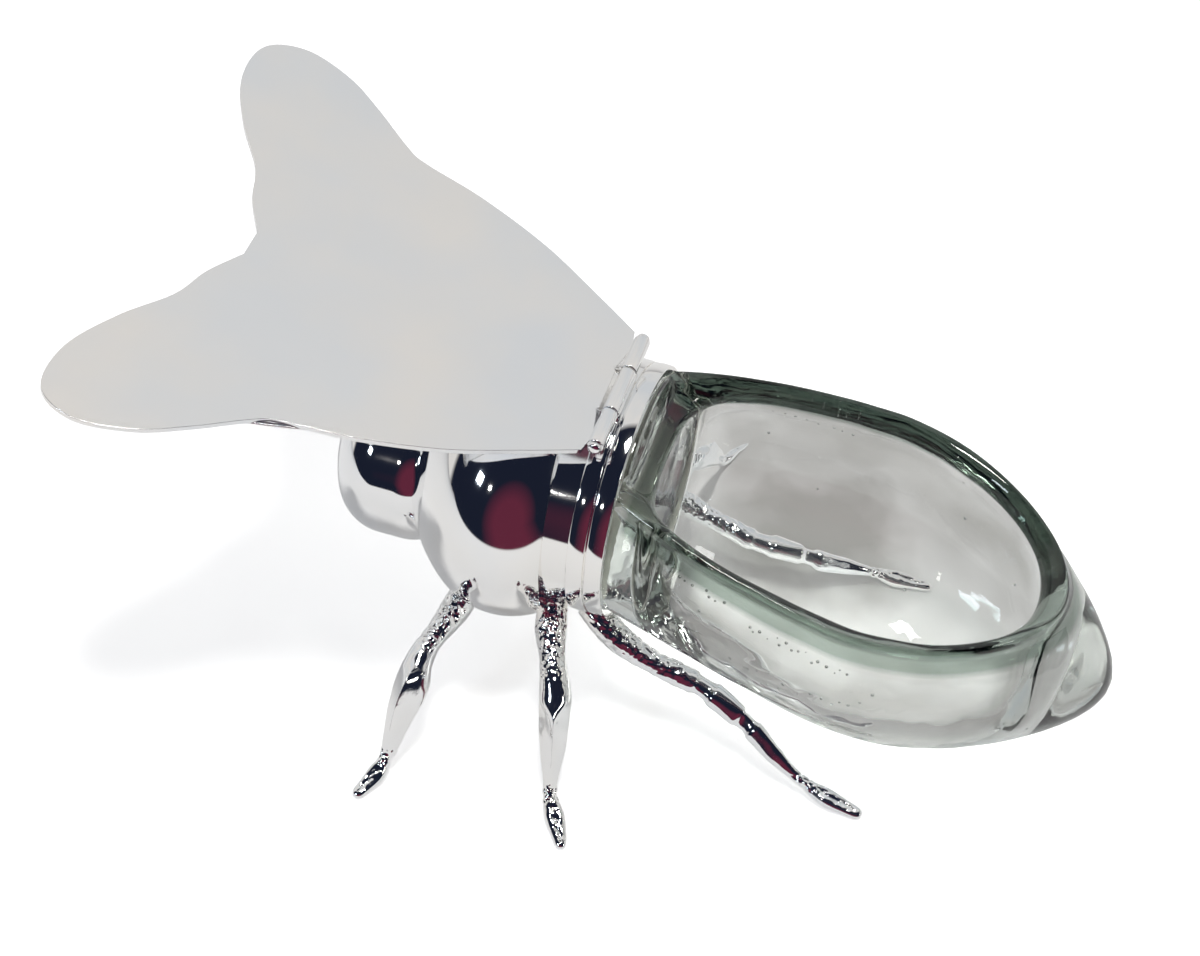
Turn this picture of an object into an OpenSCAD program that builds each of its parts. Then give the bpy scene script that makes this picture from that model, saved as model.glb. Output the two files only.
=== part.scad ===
// A honey pot in the shape of a bee. A thick glass abdomen is the pot, and it is bedded in a
// silver collar that carries the thorax, the head and six cast legs. Both wings are one plate:
// the lid, which turns on a three-knuckle hinge on top of the collar.
// X runs along the bee towards its tail, Y to its side, Z up from the table that it stands on.
// The plate is drawn swung right back over the head, as the pot stands open.

/* [Glass pot] */
// Length of the glass behind the collar, up to the tail tip
glass_length = 99; // [92:0.5:104]
// Widest radius of the glass
glass_r = 32.4; // [31:0.1:34]
// How far inside the collar's outer edge the glass comes out of it
neck_step = 0.7; // [0.2:0.1:1.2]
// How far the tail tip hangs below the collar's centre line
tail_drop = 19; // [14:0.5:22]
// Thickness of the glass wall
glass_wall = 4.6; // [3.5:0.1:5.5]
// Thickness of the glass at the tail tip
tail_wall = 16; // [13:0.5:18]
// Slope of the glass rim, falling towards the tail
rim_slope = 9.6; // [8:0.1:11]
// How far the rim's plane passes under the hinge pin
rim_drop = 8.3; // [7:0.1:10]

/* [Collar] */
// Height of the collar's centre line above the table
axis_height = 44; // [43:0.5:52]
// Outer radius of the plain collar tube
collar_r = 25.2; // [25:0.1:26]
// Length of the collar tube along the bee
collar_length = 12.6; // [11:0.1:14]
// Thickness of the collar's silver
collar_wall = 1; // [0.8:0.1:1.4]
// Height of the two moulded bands above the tube
band_rise = 0.9; // [0.5:0.1:1]
// Width of each band
band_width = 3.5; // [3:0.1:4]

/* [Thorax and head] */
// Largest radius of the thorax
thorax_r = 30.2; // [28:0.1:30.6]
// Half of the thorax's length along the bee
thorax_half = 23.5; // [21:0.5:25]
// How much of the thorax's full length is cut off by the flat seat on the collar
thorax_seat = 12.5; // [10:0.5:14]
// How far the thorax's centre lies below the collar's centre line
thorax_drop = 2.4; // [2:0.1:4]
// Largest radius of the head
head_r = 18.3; // [16.5:0.1:19.5]
// Half of the head's length along the bee
head_half = 14.5; // [13:0.1:16]
// How deep the head is let into the thorax
head_seat = 12.6; // [11:0.1:14]
// Thickness of the raised silver of the thorax and the head
shell_wall = 1; // [0.7:0.1:1.4]

/* [Wings] */
// How far the wing tips of the closed lid pass the glass rim at the tail
wing_overhang = 2.4; // [1.5:0.1:5]
// Width across both wings
wing_width = 108; // [100:1:116]
// Thickness of the wing plate
wing_thickness = 1.2; // [1:0.1:1.5]
// Height of the raised veins on the plate's outer face
vein_rise = 0.4; // [0.2:0.1:0.6]
// Slope of the open plate, rising towards the wing tips
open_slope = 11.5; // [9:0.5:16]

/* [Hinge] */
// Radius of the knuckles
knuckle_r = 1.65; // [1.5:0.05:1.8]
// Length of the three knuckles together
hinge_length = 29; // [27:0.5:31]
// Length of the centre knuckle, which is fixed to the collar
centre_knuckle = 11; // [10:0.5:12]
// Radius of the hinge pin
pin_r = 0.6; // [0.5:0.05:0.7]
// Free play between the pin and each wing knuckle, on the radius
pin_play = 0.05; // [0.03:0.01:0.08]

/* [Legs] */
// Scale of the thickness of all six legs
leg_stoutness = 1; // [0.85:0.05:1.15]

/* [Hidden] */
silver = [0.80, 0.80, 0.80];
bright = [0.88, 0.88, 0.87];
green_glass = [0.72, 0.84, 0.78, 0.5];
plaster = [0.85, 0.83, 0.78];
$fn = 96;

// The hinge pin lies over the front band, and its knuckles sink a little into the two bands.
knuckle_sink = 0.25;
hinge_x = -band_width - 2;
hinge_z = axis_height + collar_r + band_rise + knuckle_r - knuckle_sink;
knuckle_gap = 0.25;
pin_head_r = 0.8 * knuckle_r;
plate_gap = 0.3;
seat_depth = 0.9;

// The glass swells from the collar to its widest place and closes again to the tail.
widest_x = 47;
swell_power = 1.5;
tail_taper = 0.36;
droop_power = 1.75;
neck_depth = collar_length - collar_wall - 2.6;
neck_r = collar_r - collar_wall - 0.6;
glass_neck_r = collar_r - neck_step;
shoulder_r = glass_neck_r - 0.3;
cavity_front = 5;
shoulder_back = 1.4;
shoulder_edge = 1;
cavity_back = glass_length - tail_wall;
cavity_lift = 2.7;
around = 72;
outer_steps = 18;
bead_steps = 5;
inner_steps = 14;

// ---------------------------------------------------------------- glass

// Radius of the outside of the glass at the place x along the bee.
function outer_r(x) =
    x < -neck_depth - 3 ? 0
    : x < 0 ? glass_neck_r
    : x < widest_x
        ? glass_r - (glass_r - glass_neck_r) * pow((widest_x - x) / widest_x, swell_power)
    : x < glass_length
        ? let (q = pow((x - widest_x) / (glass_length - widest_x), 2))
            glass_r * sqrt(1 - q) * (1 - tail_taper * q)
    : 0;

// Height of the middle of the glass at x, against the collar's centre line.
function droop(x) = x < 0 ? 0 : -tail_drop * pow(x / glass_length, droop_power);

// The hollow follows the outside one wall's thickness in, and closes bluntly at both ends.
function closing(x) =
    let (q = x < widest_x
        ? (widest_x - x) / (widest_x - cavity_front)
        : (x - widest_x) / (cavity_back - widest_x))
    q >= 1 ? 0 : pow(1 - pow(q, 6), 1 / 6);
function inner_r(x) =
    x <= cavity_front || x >= cavity_back ? 0 : (outer_r(x) - glass_wall) * closing(x);
function inner_droop(x) =
    droop(x) + (x < widest_x ? cavity_lift * (widest_x - x) / widest_x : 0);

// The rim lies in a plane that passes under the hinge pin. Every point of the glass is found
// along a ray from a point of that plane, in the middle of the mouth.
rim_down = [-sin(rim_slope), 0, -cos(rim_slope)];
rim_along = [cos(rim_slope), 0, -sin(rim_slope)];
mouth_x = 43;
mouth = [mouth_x, 0, hinge_z - axis_height - rim_drop - (mouth_x - hinge_x) * tan(rim_slope)];
function is_inside(p, inner) =
    let (
        r = inner ? inner_r(p.x) : outer_r(p.x),
        z = p.z - (inner ? inner_droop(p.x) : droop(p.x))
    )
    p.y * p.y + z * z < r * r;
function reach(ray, inner, low = 0, high = 80, steps = 18) =
    steps == 0 ? (low + high) / 2
    : let (middle = (low + high) / 2)
        is_inside(mouth + ray * middle, inner)
            ? reach(ray, inner, middle, high, steps - 1)
            : reach(ray, inner, low, middle, steps - 1);
function ray_at(turn, dip) =
    cos(dip) * (cos(turn) * rim_along + sin(turn) * [0, 1, 0]) + sin(dip) * rim_down;
function wall_point(turn, dip, inner) =
    let (ray = ray_at(turn, dip)) mouth + ray * reach(ray, inner);

// The rim is fire-polished: from its crest it rolls over quickly to the outside, and more
// slowly down into the hollow.
outer_dip = 2.5;
inner_dip = 7;
crest_place = 0.28;
function flat(v) = v - (v * rim_down) * rim_down;
function bead_point(turn, step) =
    let (
        a = wall_point(turn, outer_dip, false) - mouth,
        b = wall_point(turn, inner_dip, true) - mouth,
        crest = flat(a) * (1 - crest_place) + flat(b) * crest_place,
        angle = 180 * step / (bead_steps + 1),
        end = angle < 90 ? a : b
    )
    mouth + crest + (flat(end) - crest) * abs(cos(angle))
        + rim_down * (end * rim_down) * (1 - sin(angle));
function glass_ring(k) =
    k < outer_steps
        ? [for (j = [0:around - 1])
            wall_point(360 * j / around, 90 - (90 - outer_dip) * (k + 1) / outer_steps, false)]
    : k < outer_steps + bead_steps
        ? [for (j = [0:around - 1]) bead_point(360 * j / around, k - outer_steps + 1)]
    : [for (j = [0:around - 1])
        wall_point(360 * j / around,
            inner_dip + (90 - inner_dip) * (k - outer_steps - bead_steps) / inner_steps, true)];
ring_count = outer_steps + bead_steps + inner_steps;

// Faces between rings of the same number of points, with a pole at each end.
function skin_faces(rings, sides, first, last) = concat(
    [for (j = [0:sides - 1]) [first, j, (j + 1) % sides]],
    [for (k = [0:rings - 2]) for (j = [0:sides - 1]) for (half = [0:1])
        half == 0
            ? [k * sides + j, (k + 1) * sides + j, k * sides + (j + 1) % sides]
            : [(k + 1) * sides + j, (k + 1) * sides + (j + 1) % sides, k * sides + (j + 1) % sides]],
    [for (j = [0:sides - 1]) [last, (rings - 1) * sides + (j + 1) % sides, (rings - 1) * sides + j]]
);

module glass_pot() {
    rings = [for (k = [0:ring_count - 1]) each glass_ring(k)];
    poles = [wall_point(0, 90, false), wall_point(0, 90, true)];
    total = ring_count * around;
    color(green_glass)
        difference() {
            union() {
                translate([0, 0, axis_height])
                    polyhedron(
                        concat(rings, poles),
                        skin_faces(ring_count, around, total, total + 1),
                        convexity = 4
                    );
                // The shoulder fills the collar and stands up behind it, over the rim's front.
                turned() {
                    translate([0, -neck_depth - 1])
                        square([shoulder_r - shoulder_edge, neck_depth + 1 + shoulder_back]);
                    translate([0, -neck_depth - 1])
                        square([shoulder_r, neck_depth + 1 + shoulder_back - shoulder_edge]);
                    translate([shoulder_r - shoulder_edge, shoulder_back - shoulder_edge])
                        circle(shoulder_edge);
                }
            }
            // The neck is ground round and square to fit the collar.
            turned() {
                translate([neck_r, -neck_depth - 10])
                    square([glass_r, neck_depth + 10]);
                translate([0, -neck_depth - 10])
                    square([neck_r + 1, 10]);
            }
        }
}

// ---------------------------------------------------------------- collar

// A turned piece about the bee's own line: the profile's x is the radius, its y runs to the tail.
module turned() {
    translate([0, 0, axis_height])
        rotate([0, 90, 0])
            rotate_extrude()
                children();
}

module band_profile(start) {
    translate([collar_r, start])
        intersection() {
            square([band_rise, band_width]);
            translate([band_rise - band_width * 0.9, band_width / 2])
                circle(band_width * 0.9);
        }
}

// The hinge's saddle sits in a flat cut across both bands.
module saddle_cut(play = 0) {
    translate([hinge_x - knuckle_r - 0.3 - play, -centre_knuckle / 2 - 0.1 - play,
        axis_height + collar_r - 0.2])
        cube([2 * knuckle_r + 0.6 + 2 * play, centre_knuckle + 0.2 + 2 * play, 10]);
}

module lid_cut() {
    translate([hinge_x, -hinge_length, hinge_z])
        rotate([-90, 0, 0])
            cylinder(h = 2 * hinge_length, r = knuckle_r + 0.3);
}

module collar_tube() {
    color(silver)
        difference() {
            turned()
                translate([collar_r - collar_wall, -collar_length])
                    square([collar_wall, collar_length]);
            saddle_cut();
        }
}

module collar_disc() {
    color(silver)
        turned()
            translate([0, -collar_length])
                square([collar_r - collar_wall, collar_wall]);
}

module front_band() {
    color(bright)
        difference() {
            turned()
                band_profile(-2 * band_width - 0.3);
            saddle_cut();
            lid_cut();
        }
}

module rear_band() {
    color(bright)
        difference() {
            turned()
                band_profile(-band_width);
            saddle_cut();
            lid_cut();
        }
}

module bedding_ring() {
    color(plaster)
        turned()
            translate([neck_r + 0.02, -neck_depth + 0.5])
                square([collar_r - collar_wall - neck_r - 0.02, neck_depth - 0.5]);
}

// ---------------------------------------------------------------- thorax and head

// Half section of a rounded body about its own line: two broad caps that run into a round edge.
// The edge's middle lies a little off the centre where the body is blunt.
module body_section(half, radius, edge, spread) {
    reach_in = half - spread;
    inset = radius - edge;
    cap = (reach_in * reach_in + inset * inset - edge * edge) / (2 * (reach_in - edge));
    lean = atan2(inset, cap - reach_in);
    tangent = spread + edge * cos(lean);
    for (side = [0:1])
        mirror([0, side])
            intersection() {
                union() {
                    translate([inset, spread])
                        circle(edge);
                    square([inset, tangent]);
                    intersection() {
                        translate([0, half - cap])
                            circle(cap);
                        translate([0, tangent])
                            square([radius, half]);
                    }
                    if (spread > 0) square([radius, spread]);
                }
                square([radius, half]);
            }
}

thorax_x = thorax_seat - collar_length - thorax_half;
thorax_edge = 17;
head_x = thorax_x - thorax_half - head_half + head_seat;
head_drop = thorax_drop + 3.6;
head_edge = 10;
head_spread = 2.5;
flange_bore_r = 15;

module placed_body(x, drop) {
    translate([x, 0, axis_height - drop])
        rotate([0, 90, 0])
            rotate_extrude()
                children();
}

// The thorax is cut off flat where it meets the collar's front.
module thorax_solid(grow = 0) {
    difference() {
        placed_body(thorax_x, thorax_drop)
            body_section(thorax_half + grow, thorax_r + grow, thorax_edge + grow, 0);
        translate([grow - collar_length, -thorax_r - 1, axis_height - thorax_drop - thorax_r - 1])
            cube(2 * thorax_r + 2);
    }
}

module head_solid(grow = 0) {
    placed_body(head_x, head_drop)
        body_section(head_half + grow, head_r + grow, head_edge + grow, head_spread);
}

module collar_solid(r) {
    turned()
        translate([0, -collar_length])
            square([r, collar_length + 1]);
}

// A flange closes the thorax's cut end against the collar, round an opening in its middle.
module thorax_shell() {
    color(silver)
        difference() {
            thorax_solid();
            thorax_solid(-shell_wall);
            turned()
                translate([0, -collar_length - 2 * shell_wall])
                    square([flange_bore_r, 3 * shell_wall]);
        }
}

module head_shell() {
    color(silver)
        difference() {
            head_solid();
            head_solid(-shell_wall);
            thorax_solid();
        }
}

// ---------------------------------------------------------------- legs

// Each leg is a casting swept along its joints. A joint is [x, y, z, half width, half height],
// with y outwards from the bee's middle and z down from the collar's centre line.
front_joints = [
    [-30, 17, -21, 2.6, 2.6], [-31.5, 22, -24.5, 3.2, 3.2], [-33.2, 30, -25, 2.4, 2.4],
    [-34.4, 36, -26.5, 2.9, 2.9], [-34.6, 41, -29, 3.6, 3.4], [-35.4, 46.5, -34.5, 2.7, 2.5],
    [-36, 51, -40, 1.5, 1.5], [-37.2, 55, -42.3, 2, 1.7], [-39.5, 60.5, -43.4, 0.5, 0.6]
];
middle_joints = [
    [-12, 18, -17, 2.8, 2.8], [-10.5, 24, -20, 3.3, 3.3], [-8.1, 30.2, -21.5, 2.7, 2.7],
    [-5.9, 35, -25, 3.2, 3.2], [-4.6, 39, -29, 3.1, 3], [-3.2, 44, -35, 2.3, 2.2],
    [-2, 48.4, -40.4, 1.4, 1.4], [0.4, 52.4, -42.3, 2, 1.7], [4, 58.2, -43.4, 0.5, 0.6]
];
rear_joints = [
    [-5.5, 16, -19.5, 2.7, 2.7], [2, 18.6, -24.3, 3, 2.8], [11, 19.6, -28, 2.4, 2.3],
    [21, 20, -31, 2.7, 2.5], [30.5, 22.4, -34.6, 2.6, 2.4], [38, 25.6, -38, 2, 1.9],
    [45, 28.4, -41, 1.3, 1.3], [51, 29.8, -42.4, 2, 1.6], [58.4, 30.8, -43.4, 0.5, 0.6]
];
leg_sides = 14;
leg_steps = 4;

// The joints are for this collar and this height. Where those change, the roots stay on the
// collar's surface, the feet stay on the table, and the joints between them share the change.
joint_collar_r = 25.2;
joint_height = 44;
root_z = -17;

// A smooth curve through the joints.
function blend(a, b, c, d, t) =
    0.5 * ((2 * b) + (c - a) * t + (2 * a - 5 * b + 4 * c - d) * t * t
        + (3 * b - a - 3 * c + d) * t * t * t);
function along(joints, k) =
    let (
        last = len(joints) - 1,
        i = min(floor(k / leg_steps), last - 1),
        t = k / leg_steps - i
    )
    blend(joints[max(i - 1, 0)], joints[i], joints[i + 1], joints[min(i + 2, last)], t);
function unit(v) = v / norm(v);
function root_shift(part) = part * (collar_r - joint_collar_r);
function place(joint) =
    let (
        root = root_z - root_shift(0.77),
        stretch = (axis_height + root) / (joint_height + root_z),
        z = joint[2] > root_z ? root + joint[2] - root_z : root + (joint[2] - root_z) * stretch
    )
    [joint[0], joint[1] + root_shift(0.64), z + axis_height];
function leg_ring(joints, k) =
    let (
        here = along(joints, k),
        count = (len(joints) - 1) * leg_steps,
        ahead = place(along(joints, min(k + 0.5, count))),
        behind = place(along(joints, max(k - 0.5, 0))),
        forward = unit(ahead - behind),
        side = unit(cross(forward, [0, 0, 1])),
        up = cross(side, forward)
    )
    [for (j = [0:leg_sides - 1])
        let (
            angle = -360 * j / leg_sides,
            p = place(here) + leg_stoutness
                * (here[3] * cos(angle) * side + here[4] * sin(angle) * up)
        )
        [p.x, p.y, max(p.z, 0)]];

module leg_solid(joints) {
    count = (len(joints) - 1) * leg_steps + 1;
    rings = [for (k = [0:count - 1]) each leg_ring(joints, k)];
    total = count * leg_sides;
    polyhedron(
        concat(rings, [place(joints[0]), place(joints[len(joints) - 1])]),
        skin_faces(count, leg_sides, total, total + 1),
        convexity = 4
    );
}

module leg(joints, left) {
    color(silver)
        mirror([0, left ? 1 : 0, 0])
            difference() {
                leg_solid(joints);
                thorax_solid();
                collar_solid(collar_r + band_rise + 0.02);
            }
}

module front_left_leg() {
    leg(front_joints, true);
}

module front_right_leg() {
    leg(front_joints, false);
}

module middle_left_leg() {
    leg(middle_joints, true);
}

module middle_right_leg() {
    leg(middle_joints, false);
}

module rear_left_leg() {
    leg(rear_joints, true);
}

module rear_right_leg() {
    leg(rear_joints, false);
}

// ---------------------------------------------------------------- hinge and wings

// Things that turn on the pin are drawn with x away from the hinge and z towards the outer face,
// then swung right back to the open place.
module on_lid() {
    translate([hinge_x, 0, hinge_z])
        rotate([0, -(180 - open_slope), 0])
            children();
}

module hinge_saddle() {
    color(silver)
        difference() {
            union() {
                translate([hinge_x, centre_knuckle / 2, hinge_z])
                    rotate([90, 0, 0])
                        cylinder(h = centre_knuckle, r = knuckle_r);
                translate([hinge_x - knuckle_r, -centre_knuckle / 2,
                    axis_height + collar_r - 0.2])
                    cube([2 * knuckle_r, centre_knuckle, hinge_z - axis_height - collar_r + 0.2]);
            }
            translate([hinge_x, hinge_length, hinge_z])
                rotate([90, 0, 0])
                    cylinder(h = 2 * hinge_length, r = pin_r);
        }
}

module hinge_pin() {
    head = 1.1;
    color(bright)
        translate([hinge_x, 0, hinge_z])
            rotate([90, 0, 0]) {
                cylinder(h = hinge_length + 0.4, r = pin_r, center = true);
                for (side = [0:1])
                    mirror([0, 0, side])
                        translate([0, 0, hinge_length / 2 + 0.2])
                            cylinder(h = head, r = pin_head_r);
            }
}

module wing_knuckle(side) {
    start = centre_knuckle / 2 + knuckle_gap;
    length = hinge_length / 2 - start;
    mirror([0, side, 0])
        on_lid()
            difference() {
                translate([0, start + length, 0])
                    rotate([90, 0, 0])
                        cylinder(h = length, r = knuckle_r);
                translate([0, hinge_length, 0])
                    rotate([90, 0, 0])
                        cylinder(h = hinge_length, r = pin_r + pin_play);
                translate([seat_depth, 0, plate_gap])
                    cube([10, hinge_length, 10]);
            }
}

module left_knuckle() {
    color(silver) wing_knuckle(1);
}

module right_knuckle() {
    color(silver) wing_knuckle(0);
}

// The closed plate comes down on the rim's tail end. Its length is from the hinge pin to the
// wing tips.
hinge_point = [hinge_x, 0, hinge_z - axis_height];
wing_length = norm(wall_point(0, outer_dip, false) - hinge_point) + wing_overhang;

// Outline of one wing as fractions of the plate's length and half width. It starts just beyond
// the end of the hinge.
root_margin = 1.16;
root_width = (hinge_length / 2 + root_margin) / (wing_width / 2);
wing_outline = [
    [0.01, root_width], [0.12, 0.40], [0.26, 0.53], [0.42, 0.63], [0.56, 0.685], [0.61, 0.73],
    [0.70, 0.85], [0.79, 0.95], [0.90, 1.0], [0.98, 0.93], [0.985, 0.74], [0.93, 0.53],
    [0.86, 0.35], [0.83, 0.20], [0.785, 0.06]
];
outline_steps = 6;
function outline_point(k) =
    let (
        last = len(wing_outline) - 1,
        i = min(floor(k / outline_steps), last - 1),
        p = blend(wing_outline[max(i - 1, 0)], wing_outline[i], wing_outline[i + 1],
            wing_outline[min(i + 2, last)], k / outline_steps - i)
    )
    [p[0] * wing_length, p[1] * wing_width / 2];

module wing_shape() {
    count = (len(wing_outline) - 1) * outline_steps;
    one = [for (k = [0:count]) outline_point(k)];
    polygon(concat(
        one,
        [for (k = [0:count]) [one[count - k].x, -one[count - k].y]]
    ));
}

// A vein is a narrow arc between two places of the plate, bowed to one side.
module vein(from, to, bow, width = 0.9) {
    span = to - from;
    half = norm(span) / 2;
    r = (half * half + bow * bow) / (2 * bow);
    translate(from)
        rotate(atan2(span.y, span.x))
            translate([half, bow - r])
                intersection() {
                    difference() {
                        circle(r + width / 2);
                        circle(r - width / 2);
                    }
                    translate([-half, r - bow - width])
                        square([2 * half, bow + 2 * width]);
                }
}

module veins() {
    w = wing_width / 2;
    l = wing_length;
    for (side = [0:1])
        mirror([0, side]) {
            vein([l * 0.08, w * 0.22], [l * 0.90, w * 0.86], l * 0.05);
            vein([l * 0.08, w * 0.14], [l * 0.86, w * 0.52], l * 0.04);
            vein([l * 0.10, w * 0.05], [l * 0.76, w * 0.14], l * 0.015);
            vein([l * 0.55, w * 0.52], [l * 0.62, w * 0.66], l * 0.01);
        }
}

module wing_plate() {
    notch = centre_knuckle / 2 + 0.35;
    notch_depth = knuckle_r + 0.75;
    color(bright)
        on_lid()
            translate([0, 0, plate_gap])
                difference() {
                    union() {
                        linear_extrude(wing_thickness)
                            wing_shape();
                        translate([0, 0, wing_thickness - 0.01])
                            linear_extrude(vein_rise + 0.01)
                                intersection() {
                                    veins();
                                    wing_shape();
                                }
                    }
                    translate([-5, -hinge_length, -1])
                        cube([5 + seat_depth, 2 * hinge_length, 5]);
                    translate([0, -notch, -1])
                        cube([notch_depth, 2 * notch, 5]);
                    for (side = [-1, 1])
                        translate([notch_depth, side * notch, -1])
                            cylinder(h = 5, r = 0.6);
                    for (side = [0:1])
                        mirror([0, side, 0])
                            translate([0, hinge_length / 2 - 0.01, -plate_gap])
                                rotate([-90, 0, 0])
                                    cylinder(h = 5, r = pin_head_r + 0.35);
                }
}

glass_pot();
bedding_ring();
collar_tube();
collar_disc();
front_band();
rear_band();
thorax_shell();
head_shell();
front_left_leg();
front_right_leg();
middle_left_leg();
middle_right_leg();
rear_left_leg();
rear_right_leg();
hinge_saddle();
hinge_pin();
left_knuckle();
right_knuckle();
wing_plate();
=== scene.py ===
"""Looks of a bee-shaped honey pot: a thick glass abdomen bedded in a silver collar, with a raised
silver thorax and head, six cast legs, and one plate of two wings that is the hinged lid.

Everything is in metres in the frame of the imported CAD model: the bee faces -X, Z is up.
"""

import logging
import math
import random
from dataclasses import dataclass, field
from enum import Enum
from typing import Any, Sequence

import bmesh
import bpy
from mathutils import Matrix, Vector, noise


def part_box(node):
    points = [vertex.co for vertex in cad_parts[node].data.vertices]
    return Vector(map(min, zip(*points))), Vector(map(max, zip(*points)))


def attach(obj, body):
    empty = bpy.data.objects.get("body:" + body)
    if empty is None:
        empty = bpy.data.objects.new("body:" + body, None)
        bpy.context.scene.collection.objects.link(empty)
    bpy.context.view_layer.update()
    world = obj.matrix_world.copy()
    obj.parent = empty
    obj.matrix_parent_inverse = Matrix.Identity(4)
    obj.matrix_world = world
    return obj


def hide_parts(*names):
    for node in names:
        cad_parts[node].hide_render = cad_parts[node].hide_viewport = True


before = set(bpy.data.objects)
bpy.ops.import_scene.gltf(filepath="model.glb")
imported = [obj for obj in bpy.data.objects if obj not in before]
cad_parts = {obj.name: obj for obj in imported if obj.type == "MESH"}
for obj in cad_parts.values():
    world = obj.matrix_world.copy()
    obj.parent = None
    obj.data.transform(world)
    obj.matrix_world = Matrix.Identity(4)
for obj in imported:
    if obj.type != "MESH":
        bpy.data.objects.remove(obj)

MM = 0.001
UP = Vector((0.0, 0.0, 1.0))
ALONG = Vector((1.0, 0.0, 0.0))
ACROSS = Vector((0.0, 1.0, 0.0))
SHARP_EDGE = math.radians(50)
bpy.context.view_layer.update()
LOG = logging.getLogger("honey_pot")

Colour = tuple[float, float, float]
Place = tuple[float, float, float]
Span = tuple[float, float]
Ring = list[bmesh.types.BMVert]
Profile = list[tuple[float, float]]


class Body(Enum):
    """The two bodies of the frame."""

    POT = "pot"
    LID = "lid"


class Slot(Enum):
    """The record's material slots."""

    POLISHED = "polished_silver"
    CAST = "cast_silver"
    GLASS = "pot_glass"
    PLASTER = "plaster"


# ------------------------------------------------------------------ shader sums


@dataclass
class Value:
    """An output of a node, with the sums that a finish is written in."""

    tree: "Tree"
    socket: bpy.types.NodeSocket

    def math(self, operation: str, left: Any, right: Any = 0.0) -> "Value":
        """Adds a Math node and returns its result."""
        return self.tree.node("ShaderNodeMath", {"operation": operation}, {0: left, 1: right})

    def __add__(self, other: Any) -> "Value":
        """Sum."""
        return self.math("ADD", self, other)

    __radd__ = __add__

    def __sub__(self, other: Any) -> "Value":
        """Difference."""
        return self.math("SUBTRACT", self, other)

    def __rsub__(self, other: Any) -> "Value":
        """Difference, the other way."""
        return self.math("SUBTRACT", other, self)

    def __mul__(self, other: Any) -> "Value":
        """Product."""
        return self.math("MULTIPLY", self, other)

    __rmul__ = __mul__


class Tree:
    """The node tree of one material or world."""

    def __init__(self, owner: bpy.types.ID) -> None:
        """Starts an empty tree.

        Args:
            owner: the material or world that the tree belongs to.
        """
        owner.use_nodes = True
        self.nodes = owner.node_tree.nodes
        self.links = owner.node_tree.links
        self.nodes.clear()

    def node(
        self,
        kind: str,
        settings: dict[str, Any] | None = None,
        inputs: dict[str | int, Any] | None = None,
        output: str | int = 0,
    ) -> Value:
        """Adds one node.

        Args:
            kind: the node's type.
            settings: its own settings, set first. "stops" gives a ramp's places and colours.
            inputs: values or links of its sockets, by name or number.
            output: the socket to return.

        Returns:
            The chosen output, for sums and links.
        """
        made = self.nodes.new(kind)
        for name, value in (settings or {}).items():
            if name == "stops":
                ramp = made.color_ramp.elements
                while len(ramp) < len(value):
                    ramp.new(1.0)
                for element, (place, colour) in zip(ramp, value):
                    element.position = place
                    element.color = (*colour, 1.0)
            else:
                setattr(made, name, value)
        for name, value in (inputs or {}).items():
            socket = made.inputs[name]
            if isinstance(value, Value):
                self.links.new(value.socket, socket)
            elif isinstance(value, tuple) and socket.type == "RGBA":
                socket.default_value = (*value, 1.0)
            else:
                socket.default_value = value
        return Value(self, made.outputs[output] if len(made.outputs) else None)

    def place(self) -> Value:
        """The place on the piece, in metres."""
        return self.node("ShaderNodeTexCoord", output="Object")

    def noise(self, scale: float, detail: float = 2.0, where: Value | None = None) -> Value:
        """A soft random pattern between 0 and 1.

        Args:
            scale: how many waves there are in a metre.
            detail: how many finer patterns are added.
            where: the place to read, or None for the place on the piece.

        Returns:
            The pattern's value.
        """
        return self.node(
            "ShaderNodeTexNoise",
            inputs={"Vector": where or self.place(), "Scale": scale, "Detail": detail},
        )

    def spread(self, value: Value, low: float, high: float, start: float, end: float) -> Value:
        """Maps low..high to start..end, and holds it there beyond."""
        return self.node(
            "ShaderNodeMapRange",
            inputs={
                "Value": value, "From Min": low, "From Max": high,
                "To Min": start, "To Max": end,
            },
        )

    def mix(self, share: Value, one: Any, other: Any) -> Value:
        """A mix of two colours."""
        return self.node(
            "ShaderNodeMix",
            {"data_type": "RGBA"},
            {0: share, 6: one, 7: other},
            output=2,
        )

    def dot(self, left: Any, right: Any) -> Value:
        """The dot product of two vectors."""
        return self.node(
            "ShaderNodeVectorMath", {"operation": "DOT_PRODUCT"}, {0: left, 1: right},
            output="Value",
        )

    def light_path(self, question: str) -> Value:
        """What the ray's path says to a question, which is the name of an output."""
        return self.node("ShaderNodeLightPath", output=question)

    def bump(self, height: Value, depth: float, under: Value | None = None) -> Value:
        """A bumped normal.

        Args:
            height: the height pattern, about 0 to 1.
            depth: how high 1 stands, in metres.
            under: the normal that it is laid on, or None for the surface's own.

        Returns:
            The normal.
        """
        inputs = {"Height": height, "Distance": depth, "Strength": 1.0}
        if under is not None:
            inputs["Normal"] = under
        return self.node("ShaderNodeBump", inputs=inputs)


# ------------------------------------------------------------------ finishes


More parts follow.
